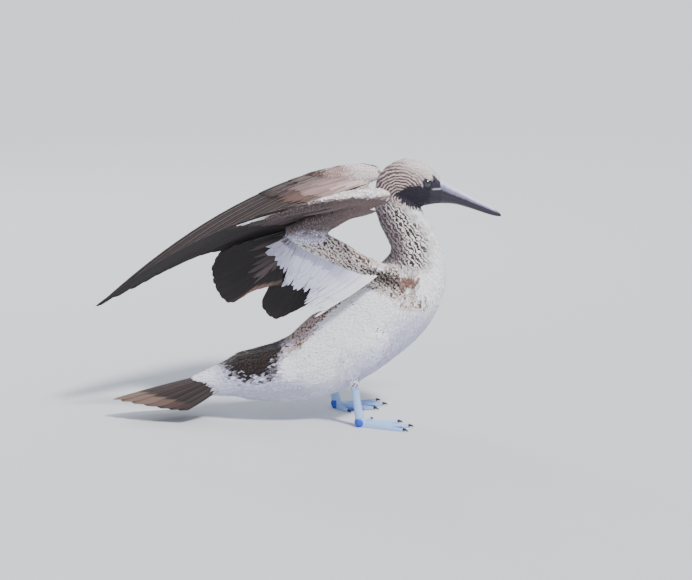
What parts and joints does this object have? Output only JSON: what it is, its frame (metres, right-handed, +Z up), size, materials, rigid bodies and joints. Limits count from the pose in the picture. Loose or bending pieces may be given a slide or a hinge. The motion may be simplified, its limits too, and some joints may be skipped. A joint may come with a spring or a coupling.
{
  "type": "blue-footed booby",
  "caption": "Life-size still model of a blue-footed booby that stands with its wings raised and stretched back over its body.",
  "frame": {"origin": "on the ground, under the middle of the bird", "axes": "+X towards the bill, +Y to the bird's left, +Z up"},
  "size_m": [0.5637, 0.282, 0.3701],
  "materials": {
    "white_plumage": "soft matt white feathers, lavender in the shade",
    "mottled_plumage": "soft matt feathers, brown with pale edges",
    "head_plumage": "short matt feathers with fine pale streaks",
    "brown_plumage": "soft matt brown feathers with pale edges",
    "underwing_feather": "soft matt white feathers",
    "flight_feather": "stiff satin black-brown feathers",
    "bill_horn": "satin horn, dark towards the tip",
    "eye": "polished",
    "foot_skin": "satin scaled blue skin",
    "claw_horn": "satin horn"
  },
  "bodies": {
    "root": {"trunk": "white_plumage", "neck": "mottled_plumage", "head": "head_plumage", "tail": "white_plumage", "bill_upper": "bill_horn", "bill_lower": "bill_horn", "eye_right": "eye", "eye_left": "eye", "upper_arm_right": "mottled_plumage", "upper_arm_left": "mottled_plumage", "forearm_right": "brown_plumage", "forearm_left": "brown_plumage", "hand_right": "brown_plumage", "hand_left": "brown_plumage", "primaries_right": "flight_feather", "primaries_left": "flight_feather", "secondaries_right": "flight_feather", "secondaries_left": "flight_feather", "humerals_right": "flight_feather", "humerals_left": "flight_feather", "axillars_right": "underwing_feather", "axillars_left": "underwing_feather", "tail_feathers_right": "flight_feather", "tail_feathers_left": "flight_feather", "shank_right": "white_plumage", "shank_left": "white_plumage", "tarsus_right": "foot_skin", "tarsus_left": "foot_skin", "foot_right": "foot_skin", "foot_left": "foot_skin", "claw_hallux_right": "claw_horn", "claw_inner_right": "claw_horn", "claw_middle_right": "claw_horn", "claw_outer_right": "claw_horn", "claw_hallux_left": "claw_horn", "claw_inner_left": "claw_horn", "claw_middle_left": "claw_horn", "claw_outer_left": "claw_horn"}
  },
  "joints": []
}
